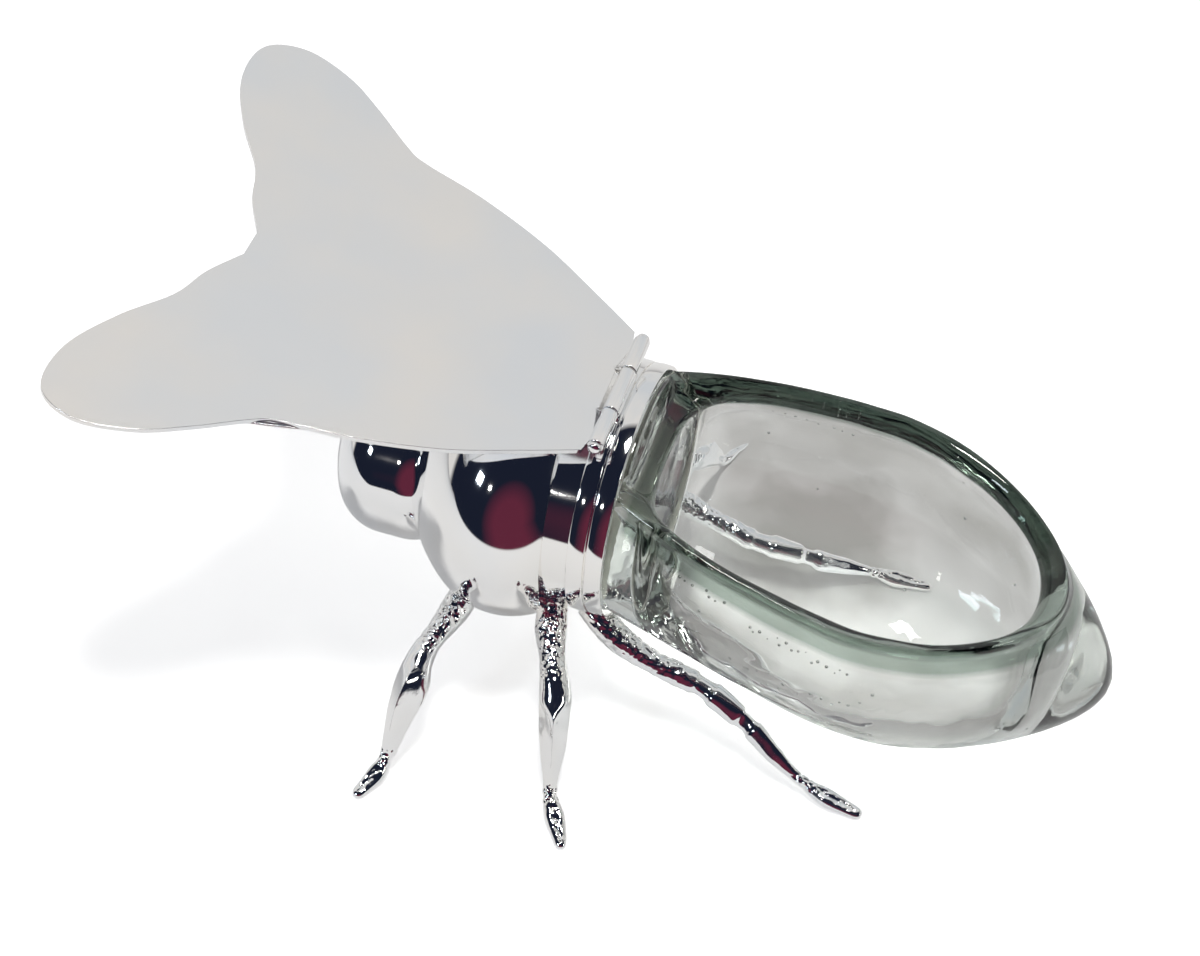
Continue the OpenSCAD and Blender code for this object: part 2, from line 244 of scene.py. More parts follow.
@dataclass(frozen=True)
class SilverFinish:
    """Sterling silver, from a mirror polish to the skin of a casting.

    Depths are in metres. A scale is how many clouds, smears, waves, pits or grains fit in a metre.
    """

    name: str
    warm: Colour = (0.96, 0.945, 0.92)
    cool: Colour = (0.915, 0.93, 0.95)
    cloud_scale: float = 28.0
    roughness: float = 0.03
    smear: float = 0.04
    smear_scale: float = 420.0
    wave_scale: float = 90.0
    wave_depth: float = 0.02 * MM
    pit_scale: float = 260.0
    pit_depth: float = 0.0
    grain_scale: float = 700.0
    grain_depth: float = 0.0

    def material(self) -> bpy.types.Material:
        """Makes the material.

        Returns:
            The new material.
        """
        made = bpy.data.materials.new(self.name)
        tree = Tree(made)
        tone = tree.spread(tree.noise(self.cloud_scale, 3.0), 0.35, 0.65, 0.0, 1.0)
        wipe = tree.noise(self.smear_scale, 4.0)
        normal = tree.bump(tree.noise(self.wave_scale, 1.0), self.wave_depth)
        if self.grain_depth:
            normal = tree.bump(tree.noise(self.grain_scale, 4.0), self.grain_depth, normal)
        if self.pit_depth:
            cells = tree.node(
                "ShaderNodeTexVoronoi",
                {"feature": "F1"},
                {"Vector": tree.place(), "Scale": self.pit_scale},
                output="Distance",
            )
            normal = tree.bump(tree.spread(cells, 0.05, 0.12, 0.0, 1.0), self.pit_depth, normal)
        shader = tree.node(
            "ShaderNodeBsdfPrincipled",
            inputs={
                "Base Color": tree.mix(tone, self.warm, self.cool),
                "Metallic": 1.0,
                "Roughness": self.roughness + self.smear * wipe,
                "Normal": normal,
            },
        )
        tree.node("ShaderNodeOutputMaterial", inputs={"Surface": shader})
        return made


@dataclass(frozen=True)
class GlassFinish:
    """Thick hand-worked glass with a faint grey-green body.

    What the glass takes from the light is given by a colour and a density in 1/m. On the rim a
    painted shade, a darker grey-green in the base colour for the darkening seen where one looks
    along the thick wall, fades between two depths under the rim's plane, and between two places
    behind the collar.
    """

    name: str
    bending: float = 1.5
    tint: Colour = (0.985, 0.99, 0.985)
    body: Colour = (0.44, 0.50, 0.455)
    density: float = 14.0
    shadow: Colour = (0.79, 0.81, 0.795)
    wave_scale: float = 75.0
    wave_depth: float = 0.35 * MM
    # Painted shade: the darker grey-green painted into the rim's base colour, standing in for the
    # darkening seen along the thick wall.
    rim_painted_shade: Colour = (0.25, 0.32, 0.275)
    rim_slope: float = math.radians(9.6)
    rim_middle: Place = (43 * MM, 0.0, 55 * MM)
    rim_depth: Span = (4.2 * MM, 5.6 * MM)
    rim_front: Span = (1.6 * MM, 3.2 * MM)

    def material(self) -> bpy.types.Material:
        """Makes the material. Lamps reach through it, as they do through real glass.

        Returns:
            The new material.
        """
        made = bpy.data.materials.new(self.name)
        tree = Tree(made)
        waves = tree.noise(self.wave_scale, 2.0)
        glass = tree.node(
            "ShaderNodeBsdfPrincipled",
            inputs={
                # The base colour is painted darker grey-green on the rim, as painted shade.
                "Base Color": tree.mix(self.rim(tree), self.tint, self.rim_painted_shade),
                "Roughness": 0.0,
                "IOR": self.bending,
                "Transmission Weight": 1.0,
                "Normal": tree.bump(waves, self.wave_depth),
            },
        )
        clear = tree.node("ShaderNodeBsdfTransparent", inputs={"Color": self.shadow})
        surface = tree.node(
            "ShaderNodeMixShader",
            inputs={0: tree.light_path("Is Shadow Ray"), 1: glass, 2: clear},
        )
        inside = tree.node(
            "ShaderNodeVolumeAbsorption", inputs={"Color": self.body, "Density": self.density}
        )
        tree.node("ShaderNodeOutputMaterial", inputs={"Surface": surface, "Volume": inside})
        return made

    def rim(self, tree: Tree) -> Value:
        """Masks the rim, where the base colour is painted darker as shade, for where one looks
        down along the wall.

        Args:
            tree: the material's tree.

        Returns:
            1 on the rim and 0 elsewhere.
        """
        down = (-math.sin(self.rim_slope), 0.0, -math.cos(self.rim_slope))
        level = sum(a * b for a, b in zip(down, self.rim_middle))
        near = tree.spread(tree.dot(tree.place(), down) - level, *self.rim_depth, 1.0, 0.0)
        along = tree.node("ShaderNodeSeparateXYZ", inputs={0: tree.place()}, output="X")
        return near * tree.spread(along, *self.rim_front, 0.0, 1.0)


@dataclass(frozen=True)
class PlasterFinish:
    """The pale plaster that beds the glass in the collar."""

    name: str
    pale: Colour = (0.80, 0.78, 0.73)
    dark: Colour = (0.62, 0.60, 0.55)
    grit_scale: float = 600.0
    grit_depth: float = 0.1 * MM
    roughness: float = 0.75

    def material(self) -> bpy.types.Material:
        """Makes the material.

        Returns:
            The new material.
        """
        made = bpy.data.materials.new(self.name)
        tree = Tree(made)
        grit = tree.noise(self.grit_scale, 5.0)
        shader = tree.node(
            "ShaderNodeBsdfPrincipled",
            inputs={
                "Base Color": tree.mix(grit, self.pale, self.dark),
                "Roughness": self.roughness + 0.2 * grit,
                "Normal": tree.bump(grit, self.grit_depth),
            },
        )
        tree.node("ShaderNodeOutputMaterial", inputs={"Surface": shader})
        return made


MIRROR_SILVER = SilverFinish("mirror_silver")
BAND_SILVER = SilverFinish("band_silver", wave_scale=60.0, wave_depth=0.012 * MM)
WING_SILVER = SilverFinish(
    "wing_silver", warm=(0.97, 0.945, 0.915), cool=(0.90, 0.92, 0.945), roughness=0.14,
    smear=0.10, wave_scale=38.0, wave_depth=0.35 * MM, pit_depth=0.02 * MM,
)
CAST_SILVER = SilverFinish(
    "cast_silver", roughness=0.05, smear=0.07, wave_scale=240.0, wave_depth=0.10 * MM,
    grain_scale=1500.0, grain_depth=0.012 * MM,
)
POT_GLASS = GlassFinish("pot_glass")
BEDDING_PLASTER = PlasterFinish("bedding_plaster")


# ------------------------------------------------------------------ making pieces


def finished(
    bm: bmesh.types.BMesh,
    name: str,
    material: bpy.types.Material,
    body: Body,
    replaces: Sequence[str] = (),
    turn_out: bool = True,
    sharp: bool = False,
) -> bpy.types.Object:
    """Turns a bmesh into a piece that rides on a body.

    Args:
        bm: the mesh, in place. It is freed.
        name: the piece's name.
        material: its finish.
        body: the body that it moves with.
        replaces: the CAD nodes that it stands for.
        turn_out: whether to turn every face outwards.
        sharp: whether its steep edges stay sharp.

    Returns:
        The new object.
    """
    if turn_out:
        bmesh.ops.recalc_face_normals(bm, faces=bm.faces)
    for face in bm.faces:
        face.smooth = True
    mesh = bpy.data.meshes.new(name)
    bm.to_mesh(mesh)
    bm.free()
    if sharp:
        mesh.set_sharp_from_angle(angle=SHARP_EDGE)
    mesh.materials.append(material)
    piece = bpy.data.objects.new(name, mesh)
    bpy.context.scene.collection.objects.link(piece)
    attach(piece, body.value)
    if replaces:
        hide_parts(*replaces)
    LOG.info("%s: %d faces on %s", name, len(mesh.polygons), body.value)
    return piece


def first_ring(bm: bmesh.types.BMesh, points: Sequence[Vector]) -> Ring:
    """Starts a skin with a closed ring.

    Args:
        bm: the mesh.
        points: where its vertices go.

    Returns:
        The ring's vertices, in order.
    """
    ring = bmesh.ops.create_circle(bm, segments=len(points), radius=1.0)["verts"]
    for vert, point in zip(ring, points):
        vert.co = point
    return ring


def next_ring(bm: bmesh.types.BMesh, ring: Ring, points: Sequence[Vector]) -> Ring:
    """Extrudes a ring and moves it to the next points.

    Args:
        bm: the mesh.
        ring: the vertices of the last ring, in order.
        points: where the new ones go.

    Returns:
        The new ring, in the same order.
    """
    edges = [bm.edges.get((a, b)) for a, b in zip(ring, ring[1:] + ring[:1])]
    made = bmesh.ops.extrude_edge_only(bm, edges=edges)["geom"]
    new = {item for item in made if isinstance(item, bmesh.types.BMVert)}
    following = [
        next(edge.other_vert(vert) for edge in vert.link_edges if edge.other_vert(vert) in new)
        for vert in ring
    ]
    for vert, point in zip(following, points):
        vert.co = point
    return following


def close_ring(bm: bmesh.types.BMesh, ring: Ring, point: Vector) -> None:
    """Draws a ring together at one point."""
    bmesh.ops.pointmerge(bm, verts=ring, merge_co=point)


def turned(
    bm: bmesh.types.BMesh, profile: Profile, centre: Vector, axis: Vector, steps: int
) -> None:
    """Spins a profile about an axis.

    Args:
        bm: the mesh that it is added to.
        profile: pairs of place along the axis and radius. A closed profile repeats its start.
        centre: a point of the axis, where the place is 0.
        axis: the axis, of length 1.
        steps: how many faces go round.
    """
    outward = axis.orthogonal().normalized()
    closed = profile[0] == profile[-1]
    points = profile[:-1] if closed else profile
    verts = [bm.verts.new(centre + axis * along + outward * radius) for along, radius in points]
    pairs = list(zip(verts, verts[1:] + verts[:1])) if closed else list(zip(verts, verts[1:]))
    edges = [bm.edges.new(pair) for pair in pairs]
    bmesh.ops.spin(
        bm, geom=verts + edges, cent=centre, axis=axis, angle=math.tau, steps=steps,
        use_merge=True, use_duplicate=False,
    )
    bmesh.ops.remove_doubles(bm, verts=bm.verts, dist=1e-7)


def rounded_bar(start: float, end: float, low: float, high: float, corner: float) -> Profile:
    """The closed profile of a turned ring with rounded corners.

    Args:
        start: where it begins along the axis.
        end: where it ends.
        low: its inner radius.
        high: its outer radius.
        corner: the radius of its corners.

    Returns:
        The profile, its first point repeated at the end.
    """
    corners = [
        (end - corner, high - corner, 90), (end - corner, low + corner, 0),
        (start + corner, low + corner, -90), (start + corner, high - corner, -180),
    ]
    points = [
        (
            x + corner * math.cos(math.radians(first - 30 * step)),
            r + corner * math.sin(math.radians(first - 30 * step)),
        )
        for x, r, first in corners
        for step in range(4)
    ]
    return points + points[:1]


def blend(knots: Sequence[Sequence[float]], place: float) -> list[float]:
    """A smooth curve through knots.

    Args:
        knots: the knots, each a few numbers.
        place: 0 at the first knot, 1 at the second and so on.

    Returns:
        The numbers at that place.
    """
    last = len(knots) - 1
    i = min(int(place), last - 1)
    t = place - i
    a, b, c, d = (knots[max(i - 1, 0)], knots[i], knots[i + 1], knots[min(i + 2, last)])
    return [
        0.5 * (2 * q + (r - p) * t + (2 * p - 5 * q + 4 * r - s) * t * t
               + (3 * q - p - 3 * r + s) * t * t * t)
        for p, q, r, s in zip(a, b, c, d)
    ]


def bump_at(place: float, middle: float, half: float) -> float:
    """1 around the middle, which falls softly to 0 at half its width from it and beyond."""
    q = min(1.0, abs(place - middle) / half)
    return (1 - q**4) ** 2


# ------------------------------------------------------------------ glass


@dataclass
class GlassBowl:
    """The abdomen: a thick bowl that droops to its tail, with a slanted fire-polished rim.

    The wall is found by rays from the mouth's middle, so a place on it is a turn round the mouth
    and a dip into the bowl. The bubbles' places are turns and dips in degrees. Shares are parts of
    the way over the rim, or over the shoulder: where the climb, the edge and the wall end.
    """

    axis_height: float
    hinge: Vector
    length: float = 99 * MM
    radius: float = 32.4 * MM
    ground_radius: float = 23.58 * MM
    neck_radius: float = 24.5 * MM
    neck_depth: float = 9 * MM
    shoulder_radius: float = 24.2 * MM
    shoulder_back: float = 1.4 * MM
    shoulder_edge: float = 1 * MM
    shoulder_fillet: float = 1.6 * MM
    shoulder_fade: float = 2.5 * MM
    climb_share: float = 0.25
    shoulder_share: float = 0.8
    edge_share: float = 0.45
    back_share: float = 0.6
    tail_drop: float = 19 * MM
    wall: float = 4.6 * MM
    widest: float = 47 * MM
    swell_power: float = 1.5
    tail_taper: float = 0.36
    droop_power: float = 1.75
    cavity_front: float = 5 * MM
    tail_wall: float = 16 * MM
    cavity_lift: float = 2.7 * MM
    rim_slope: float = math.radians(9.6)
    rim_drop: float = 8.3 * MM
    mouth_place: float = 43 * MM
    outer_dip: float = math.radians(2.5)
    inner_dip: float = math.radians(7)
    crest_place: float = 0.28
    around: int = 192
    crowding: float = 0.45
    longest_ray: float = 80 * MM
    outer_rings: int = 52
    bead_rings: int = 25
    inner_rings: int = 44
    ripple: float = 0.20 * MM
    ripple_start: float = 4 * MM
    ripple_fade: float = 10 * MM
    bubble_size: Span = (0.12 * MM, 0.36 * MM)
    bubbles: int = 24
    strings: Sequence[Sequence[Any]] = (
        ((-142, 9), (-121, 12), 9), ((-112, 15), (-70, 16), 16), ((-110, 41), (-61, 24), 14),
        ((130, 14), (95, 20), 8),
    )
    down: Vector = field(init=False)
    along: Vector = field(init=False)
    mouth: Vector = field(init=False)

    def __post_init__(self) -> None:
        """Works out the rim's plane, which passes under the hinge pin."""
        self.down = Vector((-math.sin(self.rim_slope), 0, -math.cos(self.rim_slope)))
        self.along = Vector((math.cos(self.rim_slope), 0, -math.sin(self.rim_slope)))
        fall = (self.mouth_place - self.hinge.x) * math.tan(self.rim_slope)
        self.mouth = Vector((self.mouth_place, 0, self.hinge.z - self.rim_drop - fall))

    def outer_radius(self, x: float) -> float:
        """Works out the radius of the outside.

        Args:
            x: the place along the bowl.

        Returns:
            The radius there.
        """
        if x < -self.neck_depth - 3 * MM:
            return 0.0
        if x < 0:
            return self.neck_radius
        if x < self.widest:
            swell = ((self.widest - x) / self.widest) ** self.swell_power
            return self.radius - (self.radius - self.neck_radius) * swell
        q = ((x - self.widest) / (self.length - self.widest)) ** 2
        return self.radius * math.sqrt(1 - q) * (1 - self.tail_taper * q) if q < 1 else 0.0

    def droop(self, x: float) -> float:
        """Height of the glass's middle at x, against the collar's centre line."""
        return 0.0 if x < 0 else -self.tail_drop * (x / self.length) ** self.droop_power

    def inner_radius(self, x: float) -> float:
        """Works out the radius of the hollow.

        Args:
            x: the place along the bowl.

        Returns:
            The radius there, or 0 beyond the hollow's ends.
        """
        back = self.length - self.tail_wall
        if not self.cavity_front < x < back:
            return 0.0
        if x < self.widest:
            q = (self.widest - x) / (self.widest - self.cavity_front)
        else:
            q = (x - self.widest) / (back - self.widest)
        return (self.outer_radius(x) - self.wall) * (1 - q**6) ** (1 / 6)

    def inner_droop(self, x: float) -> float:
        """Height of the hollow's middle at x, against the collar's centre line."""
        lift = self.cavity_lift * (self.widest - x) / self.widest if x < self.widest else 0.0
        return self.droop(x) + lift

    def reach(self, ray: Vector, inner: bool) -> float:
        """Finds how far a ray from the mouth's middle goes to a wall.

        Args:
            ray: its direction.
            inner: whether the wall is the hollow's or the outside.

        Returns:
            The distance.
        """
        low, high = 0.0, self.longest_ray
        radius = self.inner_radius if inner else self.outer_radius
        droop = self.inner_droop if inner else self.droop
        for _ in range(20):
            middle = (low + high) / 2
            p = self.mouth + ray * middle
            z = p.z - self.axis_height - droop(p.x)
            if p.y * p.y + z * z < radius(p.x) ** 2:
                low = middle
            else:
                high = middle
        return low

    def ray(self, turn: float, dip: float) -> Vector:
        """A direction: turn goes round the mouth from the tail, dip goes down into the bowl."""
        flat = math.cos(turn) * self.along + math.sin(turn) * ACROSS
        return math.cos(dip) * flat + math.sin(dip) * self.down

    def wall_point(self, turn: float, dip: float, inner: bool) -> Vector:
        """Finds a point of the wall, with the slight ripple of hand-worked glass.

        Args:
            turn: how far round the mouth it is.
            dip: how far down into the bowl it is.
            inner: whether the wall is the hollow's or the outside.

        Returns:
            The point.
        """
        ray = self.ray(turn, dip)
        point = self.mouth + ray * self.reach(ray, inner)
        if point.x < self.ripple_start:
            return point
        fade = min(1.0, (point.x - self.ripple_start) / self.ripple_fade)
        tone = noise.noise(Vector((point.x * 130, point.y * 60, point.z * 60 + 5 * inner)))
        return point + ray * (tone * fade * self.ripple * (1.6 if inner else -1.0))

    def over_shoulder(self, share: float, back: float, rise: float) -> Span:
        """The way over the shoulder's back edge and down to the rim's level.

        Args:
            share: 0 in front of the edge, 1 at the end of the fillet.
            back: how far the shoulder's back is from the mouth's middle.
            rise: how far the shoulder stands over the rim there.

        Returns:
            The distance from the mouth's middle, and the part of the rise that is left.
        """
        edge, fillet = min(self.shoulder_edge, 0.35 * rise), min(self.shoulder_fillet, 0.5 * rise)
        if share < self.edge_share:
            turn = math.pi / 2 * share / self.edge_share
            return back + edge * (1 - math.sin(turn)), 1 - edge / rise * (1 - math.cos(turn))
        if share < self.back_share:
            fall = (share - self.edge_share) / (self.back_share - self.edge_share)
            return back, (1 - edge / rise) * (1 - fall) + fillet / rise * fall
        turn = math.pi / 2 * (share - self.back_share) / (1 - self.back_share)
        return back - fillet * (1 - math.cos(turn)), fillet / rise * (1 - math.sin(turn))

    def bead_point(self, turn: float, share: float) -> Vector:
        """Finds a point of the rounded rim.

        In front, the way from wall to wall climbs over the shoulder that stands at the collar.

        Args:
            turn: how far round the mouth it is.
            share: 0 on the outer wall, 1 on the inner wall.

        Returns:
            The point.
        """
        outer = self.wall_point(turn, self.outer_dip, False) - self.mouth
        inner = self.wall_point(turn, self.inner_dip, True) - self.mouth
        ray = self.ray(turn, 0.0)
        (far, far_sink), (near, near_sink) = (
            (v.dot(ray), v.dot(self.down)) for v in (outer, inner)
        )
        crest = far * (1 - self.crest_place) + near * self.crest_place
        end = far if share < 0.5 else near
        reach = crest + (end - crest) * abs(math.cos(math.pi * share))
        left = 0.0
        back = (self.shoulder_back - self.mouth.x) / min(ray.x, -0.1)
        rise = self.shoulder_top(back * ray.y) - (self.mouth + ray * back).z
        if ray.x < -0.5 and rise > 0.02 * MM and back < far:
            if share < self.climb_share:
                way = far + (back + self.shoulder_edge - far) * share / self.climb_share
                left = 1.0
            elif share < self.shoulder_share:
                over = (share - self.climb_share) / (self.shoulder_share - self.climb_share)
                way, left = self.over_shoulder(over, back, rise)
            else:
                start = back - min(self.shoulder_fillet, 0.5 * rise)
                lean = math.asin(min(1.0, max(0.0, (crest - start) / (crest - near))))
                rest = (share - self.shoulder_share) / (1 - self.shoulder_share)
                lean += (math.pi / 2 - lean) * rest
                way = crest - (crest - near) * math.sin(lean)
            weight = min(1.0, rise / self.shoulder_fade)
            reach += (way - reach) * weight * weight * (3 - 2 * weight)
        sink, end = (far_sink, far) if reach > crest else (near_sink, near)
        q = min(1.0, abs((reach - crest) / (end - crest)))
        point = self.mouth + ray * reach + self.down * sink * (1 - math.sqrt(1 - q * q))
        point.z += max(0.0, self.shoulder_top(point.y) - point.z) * left
        return point

    def shoulder_top(self, y: float) -> float:
        """Height of the shoulder's top at the place y."""
        return self.axis_height + math.sqrt(max(self.shoulder_radius**2 - y * y, 0.0))

    def ring_points(self, k: int) -> list[Vector]:
        """Places one ring, on the way from the bottom over the rim and down into the hollow.

        Args:
            k: the ring's number.

        Returns:
            Its points.
        """
        steps = [math.tau * j / self.around for j in range(self.around)]
        turns = [turn + self.crowding * math.sin(turn) for turn in steps]
        quarter = math.pi / 2
        if k < self.outer_rings:
            dip = quarter - (quarter - self.outer_dip) * (k + 1) / self.outer_rings
            return [self.wall_point(turn, dip, False) for turn in turns]
        k -= self.outer_rings
        if k < self.bead_rings:
            return [self.bead_point(turn, (k + 1) / (self.bead_rings + 1)) for turn in turns]
        k -= self.bead_rings
        dip = self.inner_dip + (quarter - self.inner_dip) * k / self.inner_rings
        return [self.wall_point(turn, dip, True) for turn in turns]

    def cut_neck(self, bm: bmesh.types.BMesh) -> None:
        """Cuts the neck off square and grinds it down to fit the collar.

        Args:
            bm: the bowl's mesh.
        """
        everything = [*bm.verts, *bm.edges, *bm.faces]
        bmesh.ops.bisect_plane(
            bm, geom=everything, plane_co=(-self.neck_depth, 0, 0), plane_no=(-1, 0, 0),
            clear_outer=True,
        )
        rim = [edge for edge in bm.edges if edge.is_boundary]
        bmesh.ops.holes_fill(bm, edges=rim, sides=0)
        step = 0.05 * MM
        for place in (0.0, -step):
            everything = [*bm.verts, *bm.edges, *bm.faces]
            bmesh.ops.bisect_plane(
                bm, geom=everything, plane_co=(place, 0, 0), plane_no=(1, 0, 0)
            )
        for vert in bm.verts:
            if vert.co.x < -0.8 * step:
                rise = vert.co.z - self.axis_height
                vert.co.y *= self.ground_radius / self.neck_radius
                vert.co.z = self.axis_height + rise * self.ground_radius / self.neck_radius

    def add_bubbles(self, bm: bmesh.types.BMesh) -> None:
        """Adds small air bubbles inside the wall, as hollows that face inwards.

        Some lie scattered, and some in strings that were drawn out with the glass.

        Args:
            bm: the bowl's mesh.
        """
        dice = random.Random(7)
        places = [(dice.uniform(-180, 180), dice.uniform(12, 60)) for _ in range(self.bubbles)]
        for (turn, dip), (end_turn, end_dip), count in self.strings:
            for k in range(count):
                share = (k + dice.uniform(-0.35, 0.35)) / count
                wander = dice.uniform(-0.5, 0.5)
                places.append(
                    (turn + (end_turn - turn) * share, dip + (end_dip - dip) * share + wander)
                )
        for turn, dip in places:
            ray = self.ray(math.radians(turn), math.radians(dip))
            far, near = self.reach(ray, False), self.reach(ray, True)
            centre = self.mouth + ray * (near + (far - near) * dice.uniform(0.45, 0.75))
            made = bmesh.ops.create_icosphere(
                bm, subdivisions=2, radius=dice.uniform(*self.bubble_size),
                matrix=Matrix.Translation(centre),
            )
            faces = {face for vert in made["verts"] for face in vert.link_faces}
            bmesh.ops.reverse_faces(bm, faces=list(faces))

    def build(self, material: bpy.types.Material) -> None:
        """Builds the bowl.

        Args:
            material: the glass.
        """
        bm = bmesh.new()
        ring = first_ring(bm, self.ring_points(0))
        bottom = list(ring)
        count = self.outer_rings + self.bead_rings + self.inner_rings
        for k in range(1, count):
            ring = next_ring(bm, ring, self.ring_points(k))
        close_ring(bm, ring, self.wall_point(0, math.pi / 2, True))
        close_ring(bm, bottom, self.wall_point(0, math.pi / 2, False))
        self.cut_neck(bm)
        bmesh.ops.recalc_face_normals(bm, faces=bm.faces)
        self.add_bubbles(bm)
        finished(
            bm, "glass_abdomen", material, Body.POT, ["glass_pot"], turn_out=False,
            sharp=True,
        )


# ------------------------------------------------------------------ collar, thorax and head


@dataclass
class CollarBand:
    """A band round the collar, almost flat, with a trough where the lid's knuckles turn."""

    node: str
    axis_height: float
    tube_radius: float
    pin: Vector
    trough: float
    crown: float = 0.14 * MM
    corner: float = 0.25 * MM
    steps: int = 288

    def profile(self, half: float, radius: float) -> Profile:
        """Draws the closed profile about the band's middle.

        Args:
            half: half of its width.
            radius: its radius at the crown.

        Returns:
            The profile, its first point repeated at the end.
        """
        flat = half - self.corner
        edge = radius - self.crown * (flat / half) ** 2 - self.corner
        arc = [math.radians(22.5 * step) for step in range(4)]
        side = [(flat + self.corner * math.cos(a), edge + self.corner * math.sin(a)) for a in arc]
        top = [
            (flat * (1 - step / 6), radius - self.crown * (flat / half * (1 - step / 6)) ** 2)
            for step in range(7)
        ]
        right = [(half, self.tube_radius), *side, *top]
        left = [(-along, height) for along, height in right[-2::-1]]
        return [*right, *left, right[0]]

    def build(self, material: bpy.types.Material) -> None:
        """Builds the band.

        Args:
            material: its finish.
        """
        low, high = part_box(self.node)
        centre = Vector(((low.x + high.x) / 2, 0, self.axis_height))
        bm = bmesh.new()
        profile = self.profile((high.x - low.x) / 2, (high.y - low.y) / 2)
        turned(bm, profile, centre, ALONG, self.steps)
        for vert in bm.verts:
            aside = vert.co.x - self.pin.x
            if abs(aside) < self.trough and vert.co.z > self.axis_height:
                floor = self.pin.z - math.sqrt(self.trough**2 - aside**2)
                vert.co.z = min(vert.co.z, floor)
        finished(
            bm, f"{self.node}_strip", material, Body.POT, [self.node], sharp=True
        )


@dataclass
class RaisedBody:
    """A hollow silver body raised from sheet: two broad caps that run into a round edge.

    Its back is cut off at the stop. A flange with a round opening can close it there.
    """

    name: str
    node: str
    centre: Vector
    half: float
    radius: float
    edge: float
    spread: float = 0.0
    wall: float = 1 * MM
    stop: float = 0.0
    flange: float = 0.0
    steps: int = 144

    def radius_at(self, along: float, inset: float = 0.0) -> float:
        """Works out the radius of a skin.

        Args:
            along: the place along the body, from its middle.
            inset: how deep the skin lies under the outside.

        Returns:
            The radius there.
        """
        half, radius, edge = self.half - inset, self.radius - inset, self.edge - inset
        reach, flat = half - self.spread, radius - edge
        cap = (reach**2 + flat**2 - edge**2) / (2 * (reach - edge))
        lean = math.atan2(flat, cap - reach)
        u = abs(along)
        if u <= self.spread:
            return radius
        if u < self.spread + edge * math.cos(lean):
            return flat + math.sqrt(edge**2 - (u - self.spread) ** 2)
        return math.sqrt(max(cap**2 - (u + cap - half) ** 2, 0.0))

    def skin(self, inset: float, stop: float, steps: int) -> Profile:
        """Draws one skin from the front pole to where it stops.

        Args:
            inset: how deep it lies under the outside.
            stop: where it stops along the body.
            steps: how many steps there are on the way.

        Returns:
            Its points.
        """
        half = self.half - inset
        stop_angle = math.acos(max(-1.0, min(1.0, -stop / half)))
        points = []
        for step in range(steps + 1):
            along = -half * math.cos(stop_angle * step / steps)
            points.append((along, self.radius_at(along, inset) if step else 0.0))
        return points

    def build(self, material: bpy.types.Material) -> None:
        """Builds the body as a shell.

        Args:
            material: its finish.
        """
        bm = bmesh.new()
        inner_stop = self.stop - self.wall if self.flange else self.stop
        opening = [(self.stop, self.flange), (inner_stop, self.flange)] if self.flange else []
        inner = self.skin(self.wall, inner_stop, 40)[::-1]
        profile = self.skin(0.0, self.stop, 90) + opening + inner
        turned(bm, profile, self.centre, ALONG, self.steps)
        finished(bm, self.name, material, Body.POT, [self.node], sharp=True)


# ------------------------------------------------------------------ legs


class Side(Enum):
    """A side of the bee, as the way that Y goes on it."""

    LEFT = -1
    RIGHT = 1


